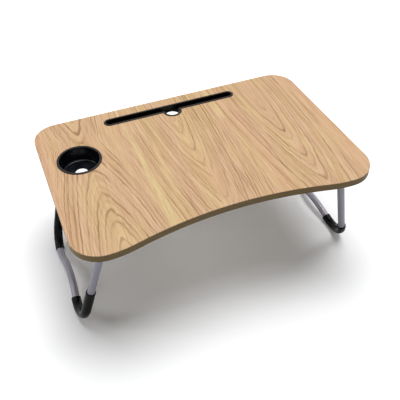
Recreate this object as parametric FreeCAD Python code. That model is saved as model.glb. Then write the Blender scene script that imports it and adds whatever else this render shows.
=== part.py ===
import FreeCAD, Part
import math
import os

# Folding laptop table: a wood-look board on two bent-tube legs that fold inwards under it.
# Origin on the floor under the middle of the board, +X to the user's right, +Y to the back, +Z up.
# Lengths are in millimetres and angles in degrees.

Vector = FreeCAD.Vector
UP = Vector(0, 0, 1)
BACK = Vector(0, 1, 0)
LEFT, RIGHT = -1, 1
FRONT, REAR = -1, 1
SIDE_NAMES = {LEFT: "left", RIGHT: "right"}
END_NAMES = {FRONT: "front", REAR: "rear"}

# Shared by all cuts and fits
cut_overrun = 1.0
snug_gap = 0.05

# Board
board_length = 600.0
board_depth = 400.0
board_thickness = 15.0
table_height = 269.0
back_corner_radius = 50.0
front_corner_radius = 58.0
front_dip = 29.5
front_blend_radius = 200.0
front_land = 2.0
top_sheet_thickness = 1.0
top_sheet_arris = 0.6
under_sheet_thickness = 0.8
edge_band_thickness = 1.2

# Cup holder
cup_left_inset = 71.5
cup_back_inset = 137.5
cup_rim_diameter = 89.0
cup_rim_height = 1.8
cup_rim_round = 0.8
cup_mouth_diameter = 80.0
cup_floor_diameter = 77.0
cup_wall = 1.8
cup_depth = 31.0
cup_floor_thickness = 2.0
cup_floor_round = 4.0
cup_drain_diameter = 26.0
cup_hole_gap = 0.3

# Tablet slot trim
slot_length = 301.0
slot_width = 24.5
slot_back_inset = 39.0
slot_lap = 2.5
slot_flange_height = 1.2
slot_flange_round = 0.5
slot_wall = 1.6
slot_depth = 11.0
slot_floor_thickness = 2.0
slot_hole_gap = 0.2
notch_radius = 20.6
notch_reach = 20.0

# Leg tubes
tube_diameter = 15.0
tube_wall = 1.2
tube_end_reach = 8.0
leg_splay = 15.2
upright_lean = 6.5
kink_drop = 27.0
kink_radius = 60.0
foot_bend_radius = 52.0
bar_arch_radius = 130.0

# Foot sleeves
sleeve_diameter = 19.4
sleeve_lip_length = 1.5
sleeve_lip_round = 0.6
left_front_sleeve_rise = 55.0
left_front_sleeve_shortfall = 6.2
right_front_sleeve_rise = 0.5
right_front_sleeve_shortfall = 1.7
rear_sleeve_rise = 55.0
rear_sleeve_shortfall = 38.2

# Tube end plugs
plug_cap_thickness = 1.2
plug_cap_round = 0.9
plug_stem_length = 4.0

# Hinges
hinge_end_inset = 54.5
hinge_edge_inset = 53.5
hinge_drop = 21.0
bracket_sheet = 1.8
bracket_bend_radius = 2.5
bracket_tongue_reach = 27.0
bracket_ear_reach = 12.0
bracket_stop_depth = 14.0
bracket_ear_round = 9.0
stop_gap = 0.3
washer_diameter = 13.0
washer_thickness = 1.0
washer_play = 0.3
bolt_diameter = 6.0
bolt_head_diameter = 11.0
bolt_head_height = 3.3
bolt_head_round = 1.6
bolt_socket_flats = 4.0
bolt_socket_depth = 2.0
bolt_tip = 1.5
nut_flats = 10.0
nut_height = 4.5
nut_collar_diameter = 8.6
nut_collar_height = 1.6

# Bracket screws
screw_diameter = 3.5
screw_bite = 10.0
screw_head_diameter = 7.5
screw_head_height = 2.2
screw_head_round = 1.0
screw_recess_length = 4.0
screw_recess_width = 1.0
screw_recess_depth = 1.1
screw_pilot_gap = 0.02
screw_tongue_place = 19.5
screw_inner_place = 4.5

# Worked out from the sizes above
top_z = table_height
under_z = table_height - board_thickness
band_top_z = top_z - top_sheet_thickness
core_bottom_z = under_z + under_sheet_thickness
tube_radius = tube_diameter / 2
tube_bore_radius = tube_radius - tube_wall
sleeve_radius = sleeve_diameter / 2
bolt_radius = bolt_diameter / 2
splay = math.radians(leg_splay)
lean = math.radians(upright_lean)
hinge_x = board_length / 2 - hinge_end_inset
hinge_y = board_depth / 2 - hinge_edge_inset
hinge_z = under_z - hinge_drop
leg_length = (hinge_z - sleeve_radius) / math.cos(splay)
ear_gap = tube_diameter + 2 * (washer_thickness + washer_play)
ear_outer = ear_gap / 2 + bracket_sheet
stop_x = tube_radius / math.cos(splay) + bracket_stop_depth * math.tan(splay) + stop_gap
cup_place = Vector(cup_left_inset - board_length / 2, board_depth / 2 - cup_back_inset, top_z)
slot_place = Vector(0, board_depth / 2 - slot_back_inset, top_z)
notch_y = slot_place.y - slot_width / 2 - notch_reach + notch_radius


def save(node, shape):
    """Writes one piece, or one group of loose fasteners, to its own file."""
    shape.exportStep("parts/" + node + ".step")


def rod(base, direction, radius, length):
    """Round bar from a base point."""
    return Part.makeCylinder(radius, length, base, direction)


def block(low, high):
    """Rectangular block between two corners."""
    size = high - low
    return Part.makeBox(size.x, size.y, size.z, low)


def turned(shape, place, angle):
    """Copy of a shape, turned about the vertical through the origin and moved to its place."""
    copy = shape.copy()
    copy.rotate(Vector(0, 0, 0), UP, angle)
    copy.translate(place)
    return copy


def arc(start, middle, end):
    return Part.Arc(start, middle, end).toShape()


def line(start, end):
    return Part.makeLine(start, end)


def hexagon(flats, height, base_y):
    """Hexagonal prism along +Y, from base_y."""
    corner = flats / math.sqrt(3)
    points = []
    for step in range(7):
        angle = math.radians(60 * step)
        points.append(Vector(corner * math.cos(angle), base_y, corner * math.sin(angle)))
    return Part.Face(Part.makePolygon(points)).extrude(BACK * height)


# Board

def board_outline(inset, z):
    """Closed outline of the board, drawn in by inset: round corners and a hollow front edge."""
    end_x = board_length / 2 - inset
    back_y = board_depth / 2 - inset
    front_y = inset - board_depth / 2
    back_x = board_length / 2 - back_corner_radius
    back_corner_y = board_depth / 2 - back_corner_radius
    back_cut = (back_corner_radius - inset) * math.sqrt(0.5)
    front_x = board_length / 2 - front_corner_radius
    front_corner_y = front_corner_radius - board_depth / 2
    front_cut = (front_corner_radius - inset) * math.sqrt(0.5)
    land_x = front_x - front_land
    dip_radius = (land_x ** 2 + front_dip ** 2) / (2 * front_dip) - front_blend_radius
    dip_centre = Vector(0, front_dip - board_depth / 2 - dip_radius, z)
    blend_centre = Vector(land_x, front_blend_radius - board_depth / 2, z)
    to_blend = (blend_centre - dip_centre).normalize()
    meet = dip_centre + to_blend * (dip_radius + inset)
    half_way = (Vector(0, -1, 0) - to_blend).normalize()
    blend_middle = blend_centre + half_way * (front_blend_radius - inset)
    dip_vertex = dip_centre + BACK * (dip_radius + inset)

    def mirrored(point):
        return Vector(-point.x, point.y, z)

    right_back = [
        Vector(end_x, back_corner_y, z),
        Vector(back_x + back_cut, back_corner_y + back_cut, z),
        Vector(back_x, back_y, z),
    ]
    right_front = [
        Vector(front_x, front_y, z),
        Vector(front_x + front_cut, front_corner_y - front_cut, z),
        Vector(end_x, front_corner_y, z),
    ]
    blend = [meet, blend_middle, Vector(land_x, front_y, z)]
    left_back = [mirrored(point) for point in reversed(right_back)]
    left_front = [mirrored(point) for point in reversed(right_front)]
    left_blend = [mirrored(point) for point in reversed(blend)]
    edges = [
        arc(*right_back),
        line(right_back[2], left_back[0]),
        arc(*left_back),
        line(left_back[2], left_front[0]),
        arc(*left_front),
        line(left_front[2], left_blend[0]),
        arc(*left_blend),
        arc(left_blend[2], dip_vertex, blend[0]),
        arc(*blend),
        line(blend[2], right_front[0]),
        arc(*right_front),
        line(right_front[2], right_back[0]),
    ]
    return Part.Wire(edges)


def board_slab(inset, low, high):
    """Slab of the board's outline between two heights."""
    return Part.Face(board_outline(inset, low)).extrude(UP * (high - low))


def stadium(length, width, low, high):
    """Slot-shaped block with round ends, centred on the tablet slot."""
    half = (length - width) / 2
    radius = width / 2
    middle = block(
        Vector(slot_place.x - half, slot_place.y - radius, low),
        Vector(slot_place.x + half, slot_place.y + radius, high),
    )
    centres = [Vector(slot_place.x + way * half, slot_place.y, low) for way in (LEFT, RIGHT)]
    return middle.fuse([rod(centre, UP, radius, high - low) for centre in centres]).removeSplitter()


def notch(radius, low, high):
    """Round block of the finger notch."""
    return rod(Vector(slot_place.x, notch_y, low), UP, radius, high - low)


def slot_form(grow, low, high):
    """Slot and notch together, grown or drawn in from the outline of the trim's flange."""
    slot = stadium(slot_length + 2 * grow, slot_width + 2 * grow, low, high)
    return slot.fuse(notch(notch_radius + grow, low, high)).removeSplitter()


def board_openings(cup_radius, slot_grow):
    """Holes through the board, or a sheet of it, for the cup holder and the slot trim."""
    low = under_z - cut_overrun
    high = top_z + cut_overrun
    cup_hole = rod(Vector(cup_place.x, cup_place.y, low), UP, cup_radius + cup_hole_gap, high - low)
    return [cup_hole, slot_form(slot_grow + slot_hole_gap, low, high)]


def screw_places():
    """Points on the board's underside where the bracket screws enter, by side."""
    places = {LEFT: [], RIGHT: []}
    for side in (LEFT, RIGHT):
        for end in (FRONT, REAR):
            for inward in (screw_tongue_place, -screw_inner_place):
                places[side].append(Vector(side * (hinge_x - inward), end * hinge_y, under_z))
    return places


def pilot_holes():
    radius = screw_diameter / 2 + screw_pilot_gap
    low = Vector(0, 0, -cut_overrun)
    depth = screw_bite + screw_pilot_gap + cut_overrun
    return [rod(place + low, UP, radius, depth) for group in screw_places().values() for place in group]


def make_board():
    openings = board_openings(cup_mouth_diameter / 2 + cup_wall, -slot_lap)
    flange_openings = board_openings(cup_rim_diameter / 2, 0)
    holes = pilot_holes()
    core = board_slab(edge_band_thickness, core_bottom_z, band_top_z)
    save("tabletop_core", core.cut(openings + holes))
    backing = board_slab(edge_band_thickness, under_z, core_bottom_z)
    save("underside_sheet", backing.cut(openings + holes))
    band = board_slab(0, under_z, band_top_z).cut(board_slab(edge_band_thickness, under_z, band_top_z))
    save("edge_band", band)
    sheet = board_slab(0, band_top_z, top_z)
    rim = [edge for edge in sheet.Edges if edge.BoundBox.ZMin > band_top_z + top_sheet_arris]
    save("top_sheet", sheet.makeFillet(top_sheet_arris, rim).cut(flange_openings))


# Cup holder and slot trim

def ring_edges(shape, radius, z):
    """Circular edges of a turned piece at one radius and height."""
    found = []
    for edge in shape.Edges:
        if not isinstance(edge.Curve, Part.Circle):
            continue
        same_radius = abs(edge.Curve.Radius - radius) < snug_gap
        if same_radius and abs(edge.Curve.Center.z - z) < snug_gap:
            found.append(edge)
    return found


def make_cup_holder():
    """Turned cup: a flange let into the top sheet, a tapered wall, and a floor with a drain hole."""
    rim = cup_rim_diameter / 2
    mouth = cup_mouth_diameter / 2
    floor = cup_floor_diameter / 2
    drain = cup_drain_diameter / 2
    floor_z = -cup_depth
    base_z = floor_z - cup_floor_thickness
    profile = [
        Vector(mouth, 0, cup_rim_height),
        Vector(rim, 0, cup_rim_height),
        Vector(rim, 0, -top_sheet_thickness),
        Vector(mouth + cup_wall, 0, -top_sheet_thickness),
        Vector(mouth + cup_wall, 0, -board_thickness),
        Vector(floor + cup_wall, 0, base_z),
        Vector(drain, 0, base_z),
        Vector(drain, 0, floor_z),
        Vector(floor, 0, floor_z),
    ]
    face = Part.Face(Part.makePolygon(profile + profile[:1]))
    cup = face.revolve(Vector(0, 0, 0), UP, 360)
    rim_edges = ring_edges(cup, rim, cup_rim_height) + ring_edges(cup, mouth, cup_rim_height)
    cup = cup.makeFillet(cup_rim_round, rim_edges)
    cup = cup.makeFillet(cup_floor_round, ring_edges(cup, floor, floor_z))
    outer_round = cup_floor_round + min(cup_wall, cup_floor_thickness)
    cup = cup.makeFillet(outer_round, ring_edges(cup, floor + cup_wall, base_z))
    cup.translate(cup_place)
    save("cup_holder", cup)


def make_slot_trim():
    """Moulded trim: a flange let into the top sheet, walls through the board, and a notched floor."""
    flange_top = top_z + slot_flange_height
    base_z = top_z - slot_depth - slot_floor_thickness
    inner = -slot_lap - slot_wall
    flange = slot_form(0, band_top_z, flange_top)
    rim = [edge for edge in flange.Edges if edge.BoundBox.ZMin > flange_top - snug_gap]
    flange = flange.makeFillet(slot_flange_round, rim)
    body = slot_form(-slot_lap, under_z, band_top_z)
    high = flange_top + cut_overrun
    through = notch(notch_radius + inner, under_z - cut_overrun, high)
    channel = stadium(slot_length + 2 * inner, slot_width + 2 * inner, top_z - slot_depth, high)
    below = stadium(slot_length + 2 * inner, slot_width + 2 * inner, under_z - cut_overrun, base_z)
    save("tablet_slot_trim", flange.fuse(body).cut([through, channel, below]).removeSplitter())


# Legs

def leg_place(side, end, along, down):
    """Point in a leg's plane: along is the distance from its middle, down is from the hinge axis."""
    return Vector(
        side * (hinge_x + down * math.sin(splay)),
        end * along,
        hinge_z - down * math.cos(splay),
    )


def half_leg():
    """Centre line of half a leg, as (along, down) pairs: kink, foot bend and the arch of the floor bar."""
    tangent = kink_radius * math.tan(lean / 2)
    kink_start = (hinge_y, kink_drop - tangent)
    kink_centre = (hinge_y - kink_radius, kink_drop - tangent)
    kink_middle = (
        kink_centre[0] + kink_radius * math.cos(lean / 2),
        kink_centre[1] + kink_radius * math.sin(lean / 2),
    )
    kink_end = (
        kink_centre[0] + kink_radius * math.cos(lean),
        kink_centre[1] + kink_radius * math.sin(lean),
    )
    bend_down = leg_length - foot_bend_radius
    line_along = hinge_y - (bend_down - kink_drop) * math.tan(lean)
    bend_along = line_along - foot_bend_radius / math.cos(lean)
    reach = foot_bend_radius + bar_arch_radius
    arch_down = bend_down + math.sqrt(reach ** 2 - bend_along ** 2)
    end_angle = math.atan2(arch_down - bend_down, -bend_along)

    def on_bend(angle):
        return (
            bend_along + foot_bend_radius * math.cos(angle),
            bend_down + foot_bend_radius * math.sin(angle),
        )

    def on_arch(angle):
        return (bar_arch_radius * math.sin(angle), arch_down - bar_arch_radius * math.cos(angle))

    return {
        "top": (hinge_y, -tube_end_reach),
        "kink": (kink_start, kink_middle, kink_end),
        "bend": (on_bend(lean), on_bend((lean + end_angle) / 2), on_bend(end_angle)),
        "on_bend": on_bend,
        "bend_angles": (lean, end_angle),
        "arch": on_arch,
        "arch_end_angle": math.asin(bend_along / reach),
    }


def bar_stretch(edge, radius, bore):
    """Straight or bent stretch of pipe along one edge of its centre line."""
    start = edge.valueAt(edge.FirstParameter)
    direction = edge.tangentAt(edge.FirstParameter)
    disc = Part.Face(Part.Wire(Part.makeCircle(radius, start, direction)))
    ring = disc.cut(Part.Face(Part.Wire(Part.makeCircle(bore, start, direction)))).Faces[0]
    if isinstance(edge.Curve, Part.Circle):
        angle = math.degrees(edge.LastParameter - edge.FirstParameter)
        return ring.revolve(edge.Curve.Center, edge.Curve.Axis, angle)
    return ring.extrude(direction * edge.Length)


def bent_pipe(edges, radius, bore):
    """Pipe of one radius and bore along a smooth centre line."""
    stretches = [bar_stretch(edge, radius, bore) for edge in edges]
    return stretches[0].fuse(stretches[1:])


def leg_path(side):
    """Whole centre line of a leg, from the front upright's top end to the rear one's."""
    half = half_leg()

    def place(end, pair):
        return leg_place(side, end, *pair)

    def down_edges(end):
        kink = [place(end, pair) for pair in half["kink"]]
        bend = [place(end, pair) for pair in half["bend"]]
        return [line(place(end, half["top"]), kink[0]), arc(*kink), line(kink[2], bend[0]), arc(*bend)]

    def up_edges(end):
        kink = [place(end, pair) for pair in reversed(half["kink"])]
        bend = [place(end, pair) for pair in reversed(half["bend"])]
        return [arc(*bend), line(bend[2], kink[0]), arc(*kink), line(kink[2], place(end, half["top"]))]

    arch_ends = [place(end, half["bend"][2]) for end in (FRONT, REAR)]
    arch = arc(arch_ends[0], place(REAR, half["arch"](0)), arch_ends[1])
    return down_edges(FRONT) + [arch] + up_edges(REAR)


def make_leg_tube(side):
    tube = bent_pipe(leg_path(side), tube_radius, tube_bore_radius)
    reach = tube_radius + cut_overrun
    for end in (FRONT, REAR):
        axis_point = leg_place(side, end, hinge_y, 0)
        tube = tube.cut(rod(axis_point - BACK * reach, BACK, bolt_radius + snug_gap, 2 * reach))
    save(SIDE_NAMES[side] + "_leg_tube", tube)


def sleeve_path(side, end, rise, reach):
    """Centre line of a foot sleeve: down the upright for rise, round the bend, and along the floor bar.

    With a negative reach it ends that far short of the bend's end.
    """
    half = half_leg()
    foot_along, foot_down = half["bend"][0]
    top = leg_place(side, end, foot_along + rise * math.sin(lean), foot_down - rise * math.cos(lean))
    first_angle, last_angle = half["bend_angles"]
    last_angle += min(reach, 0) / foot_bend_radius
    angles = (first_angle, (first_angle + last_angle) / 2, last_angle)
    bend = [leg_place(side, end, *half["on_bend"](angle)) for angle in angles]
    path = [line(top, bend[0]), arc(*bend)]
    if reach > 0:
        turn = reach / bar_arch_radius
        bar_middle = leg_place(side, end, *half["arch"](half["arch_end_angle"] - turn / 2))
        bar_end = leg_place(side, end, *half["arch"](half["arch_end_angle"] - turn))
        path.append(arc(bend[2], bar_middle, bar_end))
    return path


def sleeve_lip(mouth, outward):
    """Short straight end of a sleeve, with its outer edge rounded."""
    lip = rod(mouth, outward, sleeve_radius, sleeve_lip_length)
    far = mouth + outward * sleeve_lip_length
    rim = [edge for edge in lip.Edges if edge.CenterOfMass.distanceToPoint(far) < snug_gap]
    lip = lip.makeFillet(sleeve_lip_round, rim)
    return lip.cut(rod(mouth, outward, tube_radius + snug_gap, sleeve_lip_length))


def make_foot_sleeve(side, end, rise, reach):
    path = sleeve_path(side, end, rise, reach)
    first, last = path[0], path[-1]
    lips = [
        sleeve_lip(first.valueAt(first.FirstParameter), -first.tangentAt(first.FirstParameter)),
        sleeve_lip(last.valueAt(last.LastParameter), last.tangentAt(last.LastParameter)),
    ]
    sleeve = bent_pipe(path, sleeve_radius, tube_radius + snug_gap).fuse(lips).removeSplitter()
    save("_".join((SIDE_NAMES[side], END_NAMES[end], "foot_sleeve")), sleeve)


def make_tube_plug(side, end):
    """Cap on an upright's top end, with a stem in the bore."""
    up = (leg_place(side, end, hinge_y, 0) - leg_place(side, end, hinge_y, leg_length)).normalize()
    mouth = leg_place(side, end, hinge_y, -tube_end_reach)
    cap = rod(mouth, up, tube_radius, plug_cap_thickness)
    far = mouth + up * plug_cap_thickness
    rim = [edge for edge in cap.Edges if edge.CenterOfMass.distanceToPoint(far) < snug_gap]
    cap = cap.makeFillet(plug_cap_round, rim)
    stem = rod(mouth - up * plug_stem_length, up, tube_bore_radius - snug_gap, plug_stem_length)
    save("_".join((SIDE_NAMES[side], END_NAMES[end], "tube_plug")), cap.fuse(stem).removeSplitter())


# Hinges, modelled round the hinge axis at the origin with the outside of the table towards +X

def bent_block(low, high, radius):
    """Block with its outer uprights and its three top edges rounded, as sheet metal is at a bend."""
    solid = block(low, high)
    rounded = []
    for edge in solid.Edges:
        middle = edge.CenterOfMass
        at_top = abs(middle.z - high.z) < snug_gap
        at_wall = abs(middle.x - high.x) < snug_gap
        at_ear = abs(abs(middle.y) - high.y) < snug_gap
        if at_top + at_wall + at_ear == 2:
            rounded.append(edge)
    return solid.makeFillet(radius, rounded)


def bracket_shape():
    """Pressed bracket: a plate on the board, two ears, and an outer wall that stops the leg."""
    low_z = -bracket_stop_depth
    wall_x = stop_x + bracket_sheet
    plate_z = hinge_drop - bracket_sheet
    outside = bent_block(
        Vector(-bracket_tongue_reach, -ear_outer, low_z),
        Vector(wall_x, ear_outer, hinge_drop),
        bracket_bend_radius,
    )
    inside = bent_block(
        Vector(-bracket_tongue_reach - cut_overrun, -ear_gap / 2, low_z - cut_overrun),
        Vector(stop_x, ear_gap / 2, plate_z),
        bracket_bend_radius - bracket_sheet,
    )
    wide = ear_outer + cut_overrun
    under_tongue = block(
        Vector(-bracket_tongue_reach - cut_overrun, -wide, low_z - cut_overrun),
        Vector(-bracket_ear_reach, wide, plate_z),
    )
    corner_x = bracket_ear_round - bracket_ear_reach
    corner_z = low_z + bracket_ear_round
    corner = block(
        Vector(-bracket_ear_reach - cut_overrun, -wide, low_z - cut_overrun), Vector(corner_x, wide, corner_z)
    )
    corner = corner.cut(rod(Vector(corner_x, -wide, corner_z), BACK, bracket_ear_round, 2 * wide))
    pivot = rod(Vector(0, -wide, 0), BACK, bolt_radius + snug_gap, 2 * wide)
    screw_radius = screw_diameter / 2 + snug_gap
    screws = []
    for inward in (screw_tongue_place, -screw_inner_place):
        low = Vector(-inward, 0, plate_z - cut_overrun)
        screws.append(rod(low, UP, screw_radius, bracket_sheet + 2 * cut_overrun))
    return outside.cut([inside, under_tongue, corner, pivot] + screws)


def bolt_shape():
    """Button-head bolt along Y, its head outside the +Y ear."""
    tail = ear_outer + nut_height + nut_collar_height + bolt_tip
    shank = rod(Vector(0, -tail, 0), BACK, bolt_radius, tail + ear_outer)
    head = rod(Vector(0, ear_outer, 0), BACK, bolt_head_diameter / 2, bolt_head_height)
    face_y = ear_outer + bolt_head_height
    rim = [edge for edge in head.Edges if edge.BoundBox.YMin > face_y - snug_gap]
    head = head.makeFillet(bolt_head_round, rim)
    socket = hexagon(bolt_socket_flats, bolt_socket_depth + cut_overrun, face_y - bolt_socket_depth)
    return shank.fuse(head).cut(socket).removeSplitter()


def nut_shape():
    """Lock nut on the -Y ear: a hexagon with a round collar."""
    collar_y = -ear_outer - nut_height
    body = hexagon(nut_flats, nut_height, collar_y)
    collar = rod(Vector(0, collar_y, 0), -BACK, nut_collar_diameter / 2, nut_collar_height)
    bore_length = nut_height + nut_collar_height + 2 * cut_overrun
    bore = rod(Vector(0, cut_overrun - ear_outer, 0), -BACK, bolt_radius + snug_gap, bore_length)
    return body.fuse(collar).cut(bore).removeSplitter()


def washer_shape(way):
    """Flat washer against one ear."""
    base = Vector(0, way * ear_gap / 2, 0)
    ring = rod(base, BACK * -way, washer_diameter / 2, washer_thickness)
    return ring.cut(rod(base, BACK * -way, bolt_radius + snug_gap, washer_thickness))


def screw_shape():
    """Pan-head wood screw that enters the board upwards, with its head's seat at the origin."""
    shank = rod(Vector(0, 0, 0), UP, screw_diameter / 2, bracket_sheet + screw_bite)
    head = rod(Vector(0, 0, 0), -UP, screw_head_diameter / 2, screw_head_height)
    rim = [edge for edge in head.Edges if edge.BoundBox.ZMax < snug_gap - screw_head_height]
    head = head.makeFillet(screw_head_round, rim)
    long = screw_recess_length / 2
    wide = screw_recess_width / 2
    low_z = -screw_head_height - cut_overrun
    high_z = screw_recess_depth - screw_head_height
    cross = [
        block(Vector(-long, -wide, low_z), Vector(long, wide, high_z)),
        block(Vector(-wide, -long, low_z), Vector(wide, long, high_z)),
    ]
    return shank.fuse(head).cut(cross).removeSplitter()


def make_hinges(side):
    side_name = SIDE_NAMES[side]
    outward = 0 if side == RIGHT else 180
    bracket = bracket_shape()
    bolt = bolt_shape()
    nut = nut_shape()
    washers = []
    for end in (FRONT, REAR):
        place = Vector(side * hinge_x, end * hinge_y, hinge_z)
        facing = 0 if end == REAR else 180
        name = side_name + "_" + END_NAMES[end]
        save(name + "_hinge_bracket", turned(bracket, place, outward))
        save(name + "_hinge_bolt", turned(bolt, place, facing))
        save(name + "_lock_nut", turned(nut, place, facing))
        for way in (FRONT, REAR):
            washers.append(turned(washer_shape(way), place, 0))
    save(side_name + "_hinge_washers", Part.makeCompound(washers))
    seat = Vector(0, 0, -bracket_sheet)
    screws = [turned(screw_shape(), place + seat, 0) for place in screw_places()[side]]
    save(side_name + "_bracket_screws", Part.makeCompound(screws))


def main():
    os.makedirs("parts", exist_ok=True)
    make_board()
    make_cup_holder()
    make_slot_trim()
    front_sleeves = {
        LEFT: (left_front_sleeve_rise, -left_front_sleeve_shortfall),
        RIGHT: (right_front_sleeve_rise, -right_front_sleeve_shortfall),
    }
    for side in (LEFT, RIGHT):
        make_leg_tube(side)
        make_foot_sleeve(side, FRONT, *front_sleeves[side])
        make_foot_sleeve(side, REAR, rear_sleeve_rise, -rear_sleeve_shortfall)
        for end in (FRONT, REAR):
            make_tube_plug(side, end)
        make_hinges(side)


main()
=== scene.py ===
import math
import bpy
from mathutils import Matrix, Vector


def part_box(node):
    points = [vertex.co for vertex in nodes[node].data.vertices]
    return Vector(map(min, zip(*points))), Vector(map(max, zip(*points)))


# Looks of the folding laptop table: every CAD node keeps its shape and gets a procedural finish.
# Finishes are in millimetres on the part: x along the board, y to its back, z up. The stage is in metres.

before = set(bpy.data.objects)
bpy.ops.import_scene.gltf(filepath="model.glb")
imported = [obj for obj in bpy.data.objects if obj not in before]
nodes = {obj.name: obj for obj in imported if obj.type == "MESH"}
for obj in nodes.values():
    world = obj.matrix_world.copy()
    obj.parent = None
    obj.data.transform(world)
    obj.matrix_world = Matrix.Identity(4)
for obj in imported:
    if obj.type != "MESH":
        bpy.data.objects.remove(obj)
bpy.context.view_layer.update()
scene = bpy.context.scene
scene.view_settings.view_transform = "Standard"

MILLIMETRES = 1000
board_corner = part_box("top_sheet")[1]
BOARD_END = board_corner.x * MILLIMETRES
BOARD_TOP = board_corner.z * MILLIMETRES

# Spans are (start, end). Most of a noise lies in the first, and the second leaves a little more of it at 0.
NOISE_SPAN = (0.3, 0.7)
CLOUD_SPAN = (0.35, 0.7)


def linear(red, green, blue):
    """Display colour from 0 to 255, as the shader's linear colour."""
    out = []
    for value in (red, green, blue):
        share = value / 255
        out.append(share / 12.92 if share <= 0.04045 else ((share + 0.055) / 1.055) ** 2.4)
    return (*out, 1.0)


def plug(tree, item, socket):
    """Links a value of the tree to a socket, or sets a plain number or colour there."""
    if isinstance(item, Value):
        tree.links.new(item.socket, socket)
    else:
        socket.default_value = item


class Value:
    """A number or colour in a shader's node tree. Arithmetic on it adds the nodes."""

    def __init__(self, tree, socket):
        self.tree = tree
        self.socket = socket

    def math(self, operation, *others):
        node = self.tree.nodes.new("ShaderNodeMath")
        node.operation = operation
        for slot, item in zip(node.inputs, (self, *others)):
            plug(self.tree, item, slot)
        return Value(self.tree, node.outputs[0])

    def __add__(self, other):
        return self.math("ADD", other)

    def __sub__(self, other):
        return self.math("SUBTRACT", other)

    def __mul__(self, other):
        return self.math("MULTIPLY", other)

    def __truediv__(self, other):
        return self.math("DIVIDE", other)

    def size(self):
        return self.math("ABSOLUTE")

    def power(self, exponent):
        return self.math("POWER", exponent)

    def above(self, limit):
        return self.math("GREATER_THAN", limit)

    def below(self, limit):
        return self.math("LESS_THAN", limit)

    def least(self, other):
        return self.math("MINIMUM", other)

    def most(self, other):
        return self.math("MAXIMUM", other)

    def rest(self):
        """What is left to 1."""
        return self * -1.0 + 1.0

    def ramp(self, low, high, first=0.0, last=1.0):
        """Smooth step between two limits of this number, up from 0 to 1 unless told otherwise."""
        node = self.tree.nodes.new("ShaderNodeMapRange")
        node.interpolation_type = "SMOOTHSTEP"
        plug(self.tree, self, node.inputs["Value"])
        node.inputs["From Min"].default_value = low
        node.inputs["From Max"].default_value = high
        node.inputs["To Min"].default_value = first
        node.inputs["To Max"].default_value = last
        return Value(self.tree, node.outputs["Result"])

    def fall(self, low, high):
        """Smooth step down from 1 to 0."""
        return self.ramp(low, high, 1.0, 0.0)


class Finish:
    """A material with one Principled shader, built up node by node in the object's own millimetres."""

    def __init__(self, name, color, roughness, metallic=0.0, specular=0.5):
        self.material = bpy.data.materials.new(name)
        self.material.use_nodes = True
        self.material.diffuse_color = color
        self.tree = self.material.node_tree
        self.shader = self.tree.nodes["Principled BSDF"]
        self.set("Base Color", color)
        self.set("Roughness", roughness)
        self.set("Metallic", metallic)
        self.set("Specular IOR Level", specular)
        place = self.tree.nodes.new("ShaderNodeTexCoord")
        split = self.tree.nodes.new("ShaderNodeSeparateXYZ")
        self.tree.links.new(place.outputs["Object"], split.inputs[0])
        self.x, self.y, self.z = (Value(self.tree, split.outputs[axis]) * MILLIMETRES for axis in "XYZ")

    def set(self, name, item):
        """Sets or links an input of the shader."""
        plug(self.tree, item, self.shader.inputs[name])

    def noise(self, grain, detail=2.0, roughness=0.5, shift=0.0):
        """Noise from 0 to 1 whose features are grain = (x, y, z) millimetres long."""
        place = self.tree.nodes.new("ShaderNodeCombineXYZ")
        plug(self.tree, self.x * (1 / grain[0]) + shift, place.inputs["X"])
        plug(self.tree, self.y * (1 / grain[1]), place.inputs["Y"])
        plug(self.tree, self.z * (1 / grain[2]), place.inputs["Z"])
        node = self.tree.nodes.new("ShaderNodeTexNoise")
        node.inputs["Scale"].default_value = 1.0
        node.inputs["Detail"].default_value = detail
        node.inputs["Roughness"].default_value = roughness
        self.tree.links.new(place.outputs["Vector"], node.inputs["Vector"])
        return Value(self.tree, node.outputs["Fac"])

    def line_noise(self, value, length, shift=0.0):
        """Noise from 0 to 1 along one number, with features of the given length."""
        node = self.tree.nodes.new("ShaderNodeTexNoise")
        node.noise_dimensions = "1D"
        node.inputs["Scale"].default_value = 1.0
        node.inputs["Detail"].default_value = 2.0
        plug(self.tree, value * (1 / length) + shift, node.inputs["W"])
        return Value(self.tree, node.outputs["Fac"])

    def bands(self, value, span, lines):
        """Lines at places of a number within a span, each given as (place, strength)."""
        low, high = span
        node = self.tree.nodes.new("ShaderNodeValToRGB")
        plug(self.tree, (value - low) / (high - low), node.inputs["Fac"])
        stops = node.color_ramp.elements
        for place, strength in lines:
            for offset, share in ((-LINE_SOFT_SIDE, 0.0), (0.0, strength), (LINE_SHARP_SIDE, 0.0)):
                stop = stops.new((place + offset - low) / (high - low))
                stop.color = (share, share, share, 1)
        for stop in (stops[0], stops[-1]):
            stop.color = (0, 0, 0, 1)
        return Value(self.tree, node.outputs["Color"])

    def mix(self, share, first, second):
        """Colour that goes from the first to the second as share goes from 0 to 1."""
        node = self.tree.nodes.new("ShaderNodeMix")
        node.data_type = "RGBA"
        plug(self.tree, share, node.inputs["Factor"])
        plug(self.tree, first, node.inputs["A"])
        plug(self.tree, second, node.inputs["B"])
        return Value(self.tree, node.outputs["Result"])

    def tones(self, noise, first, second):
        """Colour between two tones, by a noise."""
        return self.mix(noise.ramp(*NOISE_SPAN), first, second)

    def bump(self, height, depth, strength):
        """Raises the surface by height times depth, in millimetres."""
        node = self.tree.nodes.new("ShaderNodeBump")
        node.inputs["Strength"].default_value = strength
        node.inputs["Distance"].default_value = depth / MILLIMETRES
        plug(self.tree, height, node.inputs["Height"])
        self.tree.links.new(node.outputs["Normal"], self.shader.inputs["Normal"])

    def wear(self, *names):
        """Puts this finish on CAD nodes."""
        for name in names:
            mesh = nodes[name].data
            mesh.materials.clear()
            mesh.materials.append(self.material)


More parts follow.
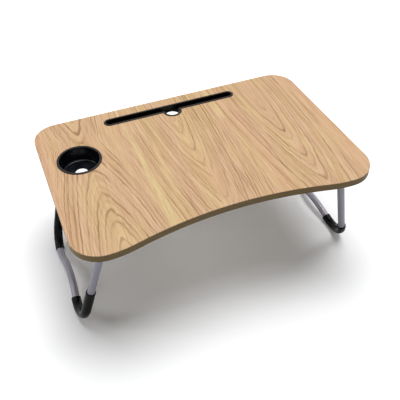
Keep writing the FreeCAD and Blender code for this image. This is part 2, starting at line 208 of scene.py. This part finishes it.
# Oak-look print: three strips of arched grain, with a seam between each two
LEFT_SEAM = -112.0
RIGHT_SEAM = 92.0
LEFT_STRIP_END = (LEFT_SEAM - 16, LEFT_SEAM)
MIDDLE_STRIP_START = (LEFT_SEAM, LEFT_SEAM + 16)
MIDDLE_STRIP_END = (RIGHT_SEAM - 14, RIGHT_SEAM)
RIGHT_STRIP_START = (RIGHT_SEAM, RIGHT_SEAM + 16)
# Pale stripes at the seams: half widths, and how far along the board they narrow or begin
LEFT_STRIPE = LEFT_SEAM - 4
LEFT_STRIPE_EDGE = (6.0, 13.0)
LEFT_STRIPE_NARROWS = (-200.0, 160.0)
LEFT_STRIPE_NARROWING = 2.4
RIGHT_STRIPE = RIGHT_SEAM - 1
RIGHT_STRIPE_EDGE = (2.0, 10.0)
RIGHT_STRIPE_BEGINS = (60.0, 110.0)
STRIPE_QUIET = 0.75
# How far each noise carries the arches sideways, their tips along the board, and the straight lines sideways
ARCH_WANDER, ARCH_RIPPLE, ARCH_JAG = 14, 4, 1.2
TIP_SWAY, TIP_JAG = 30, 12
LINE_WANDER, LINE_RIPPLE = 20, 5
# Arches: 1 would draw them as pointed roofs, and 2 would draw them round
ARCH_POWER = 1.5
# Each strip: its heart as x, the y that its distance is counted from, and how the distance grows along y.
# At the back of the left strip it is counted from a ring.
LEFT_HEART = -212.0
LEFT_FRONT_TIP = -420.0
LEFT_FRONT_SLOPE = 0.18
LEFT_BACK_TIP = 132.0
LEFT_BACK_SLOPE = -0.12
LEFT_BACK_RING = 92.7
MIDDLE_HEART = -8.0
MIDDLE_TIP = 200.0
MIDDLE_SLOPE = -0.15
RIGHT_HEART = 190.0
RIGHT_TIP = 148.0
RIGHT_SLOPE = -0.16
# Growth lines are soft towards the heart and sharp away from it
LINE_SOFT_SIDE = 1.9
LINE_SHARP_SIDE = 0.7
# Arched lines as (distance from the heart, strength)
RING_SPAN = (0.0, 130.0)
LEFT_RINGS = [
    (44, 0.7), (52.6, 0.7), (58.1, 0.9), (67.3, 1.0), (75, 0.25),
    (80, 0.8), (85, 0.3), (90.8, 0.9), (97, 0.5), (106, 0.6),
]
MIDDLE_RINGS = [
    (14, 0.4), (22, 0.4), (29.7, 1.0), (37, 0.3), (44.1, 0.9),
    (50, 0.4), (56, 0.7), (64, 0.4), (75, 0.7), (88, 0.5),
]
RIGHT_RINGS = [
    (12, 0.5), (19, 0.3), (26, 1.0), (33, 0.3), (40, 1.0),
    (46, 0.4), (51, 0.9), (58, 0.5), (66, 0.5), (76, 0.9),
]
# The middle strip's arches past these rings stay open at the heart, and its left arms are fainter
CLOSED_RINGS = (32.0, 36.0)
OPEN_HEART = (8.0, 30.0)
FAINT_ARMS = (-70.0, -15.0)
FAINT_ARM_SHARE = 0.55
# A narrow eye at the back of the middle strip
EYE_X = -6.0
EYE_Y = 86.0
EYE_STRETCH = 3.4
EYE_SPAN = (0.0, 60.0)
EYE_RINGS = [(27, 0.5)]
# Straight lines as (x, strength), and a bundle of them that is fainter at the front
STRAIGHT_SHARE = 0.8
STRAIGHT_SPAN = (-BOARD_END - 10, BOARD_END + 10)
STRAIGHT_LINES = [
    (-291, 0.6), (-274, 0.6), (-105, 0.9), (-72, 0.8), (-50, 0.5),
    (31, 0.7), (44, 0.8), (57, 0.7), (136, 0.7), (266, 0.8),
]
BUNDLE_SPAN = (0.0, 100.0)
BUNDLE_LINES = [(17, 0.5), (24, 0.7), (37, 0.6), (50, 0.7), (64, 0.6), (70, 0.5), (79, 0.6)]
BUNDLE_FRONT = (-190.0, -120.0)
BUNDLE_FRONT_SHARE = 0.4
# Thin rings and broad ones. The shifts keep the strips from repeating each other, and the thin rings are
# calmer near each heart: (start, end, share at the start, share at the end)
THIN_RING = 2.7
THIN_RING_SPAN = (0.53, 0.63)
BROAD_RING = 11.0
BROAD_RING_SPAN = (0.35, 0.65)
RIGHT_RING_SHIFT = 300
LEFT_RING_SHIFT = 600
LEFT_CALM = (62.0, 100.0, 0.3, 1.0)
MIDDLE_CALM = (20.0, 60.0, 0.4, 1.0)
RIGHT_CALM = (30.0, 70.0, 0.4, 1.0)
# Ochre heart of the middle strip, and pink at the board's ends and along one stripe
OCHRE_RINGS = (30.0, 38.0)
OCHRE_EDGE = (6.0, 26.0)
OCHRE_BEGINS = (-150.0, 20.0)
PINK_ENDS = (BOARD_END - 38, BOARD_END - 8)
PINK_END_SHARE = 0.5
PINK_STRIPE = 118.0
PINK_STRIPE_EDGE = (6.0, 24.0)
PINK_STRIPE_SHARE = 0.4
# Colours of the print: plain ones, and layers as (share where it is strongest, colour)
OAK = linear(218, 183, 144)
PALE_OAK = linear(220, 189, 144)
WARM_OAK = linear(219, 183, 149)
PINK = (1.0, linear(221, 177, 148))
OCHRE = (0.5, linear(208, 172, 118))
BROAD = (0.3, linear(190, 150, 107))
SEAM = (0.75, linear(223, 200, 150))
FIBRE = (0.52, linear(176, 135, 92))
THIN = (0.66, linear(148, 106, 66))
LINE = (0.86, linear(112, 75, 42))
PORE = (0.4, linear(130, 92, 58))
OAK_ROUGHNESS = 0.46


def grain_flow(oak):
    """Places bent as the grain wanders: x and y for the arches, and x for the straight lines."""
    wander = oak.noise((120, 330, 400)) - 0.5
    ripple = oak.noise((20, 60, 400), shift=7.0) - 0.5
    jag = oak.noise((9, 16, 400), detail=1.0, shift=17.0) - 0.5
    sway = oak.noise((26, 44, 400), shift=3.0) - 0.5
    x = oak.x + wander * ARCH_WANDER + ripple * ARCH_RIPPLE + jag * ARCH_JAG
    y = oak.y + sway * TIP_SWAY + jag * TIP_JAG
    return x, y, oak.x + wander * LINE_WANDER + ripple * LINE_RIPPLE


def arch_distance(x, y):
    """Distance from the origin, counted so that lines of one distance are arches."""
    return (x.size().power(ARCH_POWER) + y.size().power(ARCH_POWER)).power(1 / ARCH_POWER)


def ring_distances(x, y):
    """Distance from the heart of the left, the middle and the right strip."""
    left_front = (y - LEFT_FRONT_TIP) * LEFT_FRONT_SLOPE
    left_back = (y - LEFT_BACK_TIP) * LEFT_BACK_SLOPE + LEFT_BACK_RING
    left = arch_distance(x - LEFT_HEART, left_front.least(left_back))
    middle = arch_distance(x - MIDDLE_HEART, ((y - MIDDLE_TIP) * MIDDLE_SLOPE).most(0.0))
    right = arch_distance(x - RIGHT_HEART, ((y - RIGHT_TIP) * RIGHT_SLOPE).most(0.0))
    return left, middle, right


def on_middle_strip(x):
    """1 on the middle strip, and 0 past its seams."""
    return x.ramp(*MIDDLE_STRIP_START) * x.fall(*MIDDLE_STRIP_END)


def arched_lines(oak, x, y, rings):
    """Growth lines that arch round the hearts, and the eye."""
    left, middle, right = rings
    closed = middle.fall(*CLOSED_RINGS).most((x - MIDDLE_HEART).size().ramp(*OPEN_HEART))
    faint = x.ramp(*FAINT_ARMS, FAINT_ARM_SHARE, 1.0)
    eye = arch_distance((x - EYE_X) * EYE_STRETCH, y - EYE_Y)
    lines = oak.bands(left, RING_SPAN, LEFT_RINGS) * x.fall(*LEFT_STRIP_END)
    lines = lines + oak.bands(middle, RING_SPAN, MIDDLE_RINGS) * on_middle_strip(x) * closed * faint
    lines = lines + oak.bands(right, RING_SPAN, RIGHT_RINGS) * x.ramp(*RIGHT_STRIP_START)
    return lines + oak.bands(eye, EYE_SPAN, EYE_RINGS)


def straight_lines(oak, along):
    """Growth lines along the board."""
    front = oak.y.ramp(*BUNDLE_FRONT, BUNDLE_FRONT_SHARE, 1.0)
    lines = oak.bands(along, STRAIGHT_SPAN, STRAIGHT_LINES)
    return (lines + oak.bands(along, BUNDLE_SPAN, BUNDLE_LINES) * front) * STRAIGHT_SHARE


def pale_seams(oak, x):
    """1 on the pale stripes at the seams. The left one narrows to the back, the right one begins there."""
    narrowing = oak.y.ramp(*LEFT_STRIPE_NARROWS, 1.0, LEFT_STRIPE_NARROWING)
    left = ((x - LEFT_STRIPE) * narrowing).size().fall(*LEFT_STRIPE_EDGE)
    right = (x - RIGHT_STRIPE).size().fall(*RIGHT_STRIPE_EDGE) * oak.y.ramp(*RIGHT_STRIPE_BEGINS)
    return left + right


def fine_rings(oak, x, rings):
    """Thin rings and broad rings that follow the arches of the strip they are in."""
    left, middle, right = rings
    on_left = x.below(LEFT_SEAM)
    on_right = x.above(RIGHT_SEAM)
    on_middle = (on_left + on_right).rest()
    ring = left * on_left + right * on_right + middle * on_middle
    ring = ring + on_right * RIGHT_RING_SHIFT + on_left * LEFT_RING_SHIFT
    calm = left.ramp(*LEFT_CALM) * on_left + right.ramp(*RIGHT_CALM) * on_right
    calm = calm + middle.ramp(*MIDDLE_CALM) * on_middle
    thin = oak.line_noise(ring, THIN_RING).ramp(*THIN_RING_SPAN) * calm
    return thin, oak.line_noise(ring, BROAD_RING, shift=9.0).ramp(*BROAD_RING_SPAN)


def pores(oak, line):
    """Short dark pores, in patches, and more of them on the growth lines."""
    patch = oak.noise((30, 60, 300), shift=15.0).ramp(0.4, 0.62)
    return oak.noise((0.5, 9, 60), detail=1.0, shift=31.0).ramp(0.60, 0.74) * patch * (line * 0.6 + 0.4)


def ochre_heart(oak, x, ring):
    """1 along the heart of the middle strip, where its arches are open."""
    heart = ring.ramp(*OCHRE_RINGS) * (x - MIDDLE_HEART).size().fall(*OCHRE_EDGE)
    return heart * on_middle_strip(x) * oak.y.ramp(*OCHRE_BEGINS)


def pink_parts(oak):
    """Share of pink at the board's ends and along its stripe."""
    stripe = (oak.x - PINK_STRIPE).size().fall(*PINK_STRIPE_EDGE)
    return oak.x.size().ramp(*PINK_ENDS) * PINK_END_SHARE + stripe * PINK_STRIPE_SHARE


def oak_print():
    """Satin print with arched and straight growth lines, thin rings, fibres and pores."""
    oak = Finish("oak_print", OAK, roughness=OAK_ROUGHNESS, specular=0.25)
    x, y, along = grain_flow(oak)
    rings = ring_distances(x, y)
    seams = pale_seams(oak, x)
    quiet = (seams * STRIPE_QUIET).rest()
    fade = oak.noise((24, 80, 300), shift=13.0).ramp(0.34, 0.62, 0.25, 1.0)
    line = (arched_lines(oak, x, y, rings) + straight_lines(oak, along)).least(1.0) * fade * quiet
    thin, broad = fine_rings(oak, x, rings)
    thin = thin * quiet * oak.noise((22, 170, 300), shift=21.0).ramp(0.34, 0.6)
    fibre = oak.noise((1.3, 60, 60), detail=3.0, roughness=0.7)
    pore = pores(oak, line)
    warm = oak.noise((30, 240, 300), shift=41.0).ramp(0.36, 0.64)
    color = oak.mix(warm, PALE_OAK, WARM_OAK)
    layers = (
        (pink_parts(oak), PINK), (ochre_heart(oak, x, rings[1]), OCHRE), (broad, BROAD), (seams, SEAM),
        (fibre.ramp(0.4, 0.66), FIBRE), (thin, THIN), (line, LINE), (pore, PORE),
    )
    for place, (share, tone) in layers:
        color = oak.mix(place * share, color, tone)
    oak.set("Base Color", color)
    oak.set("Roughness", fibre.ramp(0.2, 0.8, OAK_ROUGHNESS - 0.06, OAK_ROUGHNESS + 0.08))
    oak.bump(fibre * 0.4 - line * 0.5 - pore * 0.8, depth=0.05, strength=0.5)
    return oak


def backing_paper():
    """Plain matte backing with faint fibres and blotches."""
    paper = Finish("backing_paper", linear(168, 151, 130), roughness=0.7, specular=0.3)
    strand = paper.noise((1.4, 30, 40), detail=3.0, roughness=0.6)
    mottle = paper.noise((18, 60, 40), detail=3.0).ramp(*CLOUD_SPAN) * 0.4
    tone = paper.tones(strand, linear(176, 160, 138), linear(158, 141, 119))
    paper.set("Base Color", paper.mix(mottle, tone, linear(164, 146, 124)))
    paper.set("Roughness", strand.ramp(0.2, 0.8, 0.62, 0.8))
    paper.bump(strand, depth=0.03, strength=0.5)
    return paper


def edge_band():
    """Olive-brown satin band with fine streaks along it."""
    band = Finish("edge_band_satin", linear(113, 91, 50), roughness=0.5, specular=0.3)
    streak = band.noise((40, 40, 0.7), detail=3.0, roughness=0.6)
    cloud = band.noise((30, 30, 20)).ramp(*CLOUD_SPAN) * 0.35
    tone = band.tones(streak, linear(100, 79, 39), linear(131, 108, 60))
    band.set("Base Color", band.mix(cloud, tone, linear(112, 88, 48)))
    band.set("Roughness", streak.ramp(0.2, 0.8, 0.42, 0.58))
    band.bump(streak, depth=0.04, strength=0.4)
    return band


def fibreboard():
    """Matte brown core with fine flecks."""
    core = Finish("fibreboard", linear(150, 118, 84), roughness=0.9, specular=0.2)
    fleck = core.noise((0.8, 0.8, 0.5), detail=4.0, roughness=0.7)
    core.set("Base Color", core.tones(fleck, linear(128, 98, 66), linear(172, 138, 101)))
    core.bump(fleck, depth=0.1, strength=0.6)
    return core


def cup_moulding():
    """Gloss black with a little blue, slightly uneven, and a rim above the board painted lighter and
    browner: a painted highlight on its lit top, and wear.
    """
    black = Finish("black_moulding", linear(13, 14, 20), roughness=0.24, specular=0.2)
    cloud = black.noise((14, 14, 14), detail=3.0)
    # Painted highlight and wear: the rim's top, above the board, is mixed to a lighter brown as if lit from
    # above and rubbed
    rim_highlight_and_wear = black.z.ramp(BOARD_TOP + 0.6, BOARD_TOP + 1.4) * 0.8
    tone = black.mix(cloud.ramp(*CLOUD_SPAN), linear(10, 11, 15), linear(18, 19, 28))
    black.set("Base Color", black.mix(rim_highlight_and_wear, tone, linear(44, 38, 34)))
    black.set("Roughness", cloud.ramp(*NOISE_SPAN, 0.16, 0.3))
    black.bump(black.noise((4, 4, 4)), depth=0.006, strength=0.25)
    return black


def trim_moulding():
    """Gloss black with a little brown, slightly dusty, and a flange painted lighter on top as a highlight.
    """
    trim = Finish("trim_moulding", linear(18, 15, 13), roughness=0.3, specular=0.2)
    dust = trim.noise((20, 8, 8), detail=3.0)
    # Painted highlight: everything at and above the board's top, the flange's upper face, is mixed to a
    # lighter brown as if lit from above
    flange_highlight = trim.z.ramp(BOARD_TOP - 0.4, BOARD_TOP + 0.6) * 0.8
    tone = trim.mix(dust.ramp(*CLOUD_SPAN), linear(10, 8, 8), linear(22, 18, 15))
    trim.set("Base Color", trim.mix(flange_highlight, tone, linear(38, 32, 26)))
    trim.set("Roughness", dust.ramp(*NOISE_SPAN, 0.24, 0.38))
    trim.bump(trim.noise((5, 5, 5)), depth=0.006, strength=0.25)
    return trim


def sleeve_gloss():
    """Gloss black with smears and a slight waviness."""
    sleeve = Finish("sleeve_gloss", linear(9, 9, 10), roughness=0.18, specular=0.08)
    smear = sleeve.noise((9, 9, 22), detail=3.0)
    sleeve.set("Base Color", sleeve.mix(smear.ramp(*CLOUD_SPAN), linear(7, 7, 8), linear(16, 15, 16)))
    sleeve.set("Roughness", smear.ramp(0.3, 0.75, 0.12, 0.32))
    sleeve.bump(sleeve.noise((5, 5, 5)), depth=0.12, strength=0.4)
    return sleeve


def plug_moulding():
    """Matte black with a fine moulded grain."""
    matte = Finish("plug_moulding", linear(26, 26, 28), roughness=0.55)
    grain = matte.noise((0.7, 0.7, 0.7), detail=3.0)
    matte.set("Base Color", matte.tones(grain, linear(20, 20, 22), linear(36, 36, 39)))
    matte.bump(grain, depth=0.05, strength=0.5)
    return matte


def powder_coat():
    """Silver-grey paint with fine flakes and a slight drift of tone."""
    coat = Finish("silver_powder_coat", linear(150, 147, 160), roughness=0.36, metallic=0.15)
    flake = coat.noise((0.35, 0.35, 0.35))
    drift = coat.noise((45, 45, 45)).ramp(*CLOUD_SPAN) * 0.35
    tone = coat.tones(flake, linear(142, 139, 152), linear(160, 157, 171))
    coat.set("Base Color", coat.mix(drift, tone, linear(148, 140, 146)))
    coat.set("Roughness", flake.ramp(0.25, 0.75, 0.3, 0.44))
    coat.bump(coat.noise((0.9, 0.9, 0.9)), depth=0.03, strength=0.4)
    return coat


def zinc_sheet():
    """Zinc-plated sheet with spangles."""
    zinc = Finish("zinc_sheet", linear(158, 158, 157), roughness=0.34, metallic=1.0)
    spangle = zinc.noise((5, 5, 5), detail=3.0, roughness=0.6)
    zinc.set("Base Color", zinc.tones(spangle, linear(142, 143, 146), linear(172, 170, 162)))
    zinc.set("Roughness", zinc.noise((0.8, 8, 8)).ramp(*NOISE_SPAN, 0.26, 0.44))
    zinc.bump(spangle, depth=0.03, strength=0.3)
    return zinc


def bright_zinc():
    """Plating of the bolts, nuts and screws, dull in places."""
    bright = Finish("bright_zinc", linear(178, 178, 180), roughness=0.24, metallic=1.0)
    dull = bright.noise((2, 2, 2), detail=3.0)
    bright.set("Base Color", bright.tones(dull, linear(164, 164, 168), linear(190, 188, 182)))
    bright.set("Roughness", dull.ramp(*NOISE_SPAN, 0.18, 0.34))
    return bright


def natural_nylon():
    """Milky washer plastic."""
    nylon = Finish("natural_nylon", linear(226, 223, 211), roughness=0.5)
    milk = nylon.noise((3, 3, 3))
    nylon.set("Base Color", nylon.tones(milk, linear(214, 210, 196), linear(232, 230, 222)))
    nylon.set("Roughness", milk.ramp(*NOISE_SPAN, 0.42, 0.58))
    return nylon


# Every node gets its finish
SIDES = ("left", "right")
CORNERS = [side + "_" + end for side in SIDES for end in ("front", "rear")]
oak_print().wear("top_sheet")
backing_paper().wear("underside_sheet")
edge_band().wear("edge_band")
fibreboard().wear("tabletop_core")
cup_moulding().wear("cup_holder")
trim_moulding().wear("tablet_slot_trim")
sleeve_gloss().wear(*(corner + "_foot_sleeve" for corner in CORNERS))
plug_moulding().wear(*(corner + "_tube_plug" for corner in CORNERS))
powder_coat().wear(*(side + "_leg_tube" for side in SIDES))
zinc_sheet().wear(*(corner + "_hinge_bracket" for corner in CORNERS))
fasteners = [corner + kind for corner in CORNERS for kind in ("_hinge_bolt", "_lock_nut")]
bright_zinc().wear(*fasteners, *(side + "_bracket_screws" for side in SIDES))
natural_nylon().wear(*(side + "_hinge_washers" for side in SIDES))

# Stage: a pale floor that whitens with distance for the camera and in reflections, and a weak fill
FLOOR_HALF = 6.0
FLOOR_COLOR = (0.92, 0.93, 0.945, 1)
WHITE = (1, 1, 1, 1)
GLOW_SPAN = (0.15, 1.2)
GLOW_NEAR = 0.065
GLOW_FAR = 0.9
MIRRORED_GLOW = 0.13
WORLD_FILL = 0.06


def ray_kinds(tree):
    """1 for rays from the camera, and 1 for rays that a surface mirrored or let through."""
    path = tree.nodes.new("ShaderNodeLightPath")
    seen = Value(tree, path.outputs["Is Camera Ray"])
    mirrored = Value(tree, path.outputs["Is Glossy Ray"]) + Value(tree, path.outputs["Is Transmission Ray"])
    return seen, mirrored.least(1.0)


def studio_paper():
    """Pale matte paper, with a glow that only the camera and reflections see."""
    paper = bpy.data.materials.new("studio_paper")
    paper.use_nodes = True
    tree = paper.node_tree
    tree.nodes.clear()
    output = tree.nodes.new("ShaderNodeOutputMaterial")
    total = tree.nodes.new("ShaderNodeAddShader")
    diffuse = tree.nodes.new("ShaderNodeBsdfDiffuse")
    glow = tree.nodes.new("ShaderNodeEmission")
    place = tree.nodes.new("ShaderNodeTexCoord")
    length = tree.nodes.new("ShaderNodeVectorMath")
    length.operation = "LENGTH"
    tree.links.new(place.outputs["Object"], length.inputs[0])
    distance = Value(tree, length.outputs["Value"])
    seen, mirrored = ray_kinds(tree)
    strength = seen * distance.ramp(*GLOW_SPAN, GLOW_NEAR, GLOW_FAR) + mirrored * distance * MIRRORED_GLOW
    plug(tree, FLOOR_COLOR, diffuse.inputs["Color"])
    plug(tree, WHITE, glow.inputs["Color"])
    plug(tree, strength, glow.inputs["Strength"])
    tree.links.new(diffuse.outputs[0], total.inputs[0])
    tree.links.new(glow.outputs[0], total.inputs[1])
    tree.links.new(total.outputs[0], output.inputs["Surface"])
    return paper


floor_mesh = bpy.data.meshes.new("floor")
floor_corners = [(x * FLOOR_HALF, y * FLOOR_HALF, 0) for x, y in ((-1, -1), (1, -1), (1, 1), (-1, 1))]
floor_mesh.from_pydata(floor_corners, [], [(0, 1, 2, 3)])
floor_mesh.materials.append(studio_paper())
floor = bpy.data.objects.new("floor", floor_mesh)
scene.collection.objects.link(floor)

# World: the fill, and plain white for the camera and in reflections
world = bpy.data.worlds.new("studio")
scene.world = world
world.use_nodes = True
background = world.node_tree.nodes["Background"]
seen, mirrored = ray_kinds(world.node_tree)
shown = (seen + mirrored).least(1.0)
plug(world.node_tree, WHITE, background.inputs["Color"])
plug(world.node_tree, shown * (1 - WORLD_FILL) + WORLD_FILL, background.inputs["Strength"])


def softbox(name, place, aim, size, power):
    """Flat lamp of a width and depth that faces a point."""
    data = bpy.data.lights.new(name, "AREA")
    data.shape = "RECTANGLE"
    data.size, data.size_y = size
    data.energy = power
    lamp = bpy.data.objects.new(name, data)
    scene.collection.objects.link(lamp)
    lamp.location = place
    lamp.rotation_mode = "QUATERNION"
    lamp.rotation_quaternion = (Vector(aim) - Vector(place)).to_track_quat("-Z", "Y")


softbox("top_light", place=(0.7, 0.4, 6.0), aim=(0, 0, 0.1), size=(4.0, 3.2), power=318)
softbox("left_light", place=(-2.6, 0.5, 1.6), aim=(0, 0, 0.2), size=(1.2, 1.2), power=21)
softbox("right_light", place=(2.6, 0.5, 1.6), aim=(0, 0, 0.2), size=(1.2, 1.2), power=13)

# Camera, fitted to the board's outline and the legs in the photo
IMAGE_WIDTH_PX = 400
FOCAL_LENGTH_PX = 576.05
SENSOR_MM = 36.0
CAMERA_PLACE = (-0.3412, -0.84705, 0.99011)
# Turned to the right from straight ahead, tilted down, and rolled
CAMERA_ANGLES = (22.088, 43.267, -0.65)
CLIP_NEAR = 0.05
CLIP_FAR = 50


def camera_turn(yaw, pitch, roll):
    """Rotation of a camera that looks along +Y before it is turned, tilted and rolled."""
    ahead = Vector((math.sin(yaw), math.cos(yaw), 0))
    level_right = Vector((math.cos(yaw), -math.sin(yaw), 0))
    up = Vector((0, 0, 1))
    forward = ahead * math.cos(pitch) - up * math.sin(pitch)
    level_up = ahead * math.sin(pitch) + up * math.cos(pitch)
    image_right = level_right * math.cos(roll) + level_up * math.sin(roll)
    image_up = level_up * math.cos(roll) - level_right * math.sin(roll)
    return Matrix((image_right, image_up, -forward)).transposed().to_4x4()


camera_data = bpy.data.cameras.new("camera")
camera_data.sensor_width = SENSOR_MM
camera_data.lens = FOCAL_LENGTH_PX * SENSOR_MM / IMAGE_WIDTH_PX
camera_data.clip_start = CLIP_NEAR
camera_data.clip_end = CLIP_FAR
camera = bpy.data.objects.new("camera", camera_data)
scene.collection.objects.link(camera)
camera.matrix_world = Matrix.Translation(CAMERA_PLACE) @ camera_turn(*map(math.radians, CAMERA_ANGLES))
scene.camera = camera
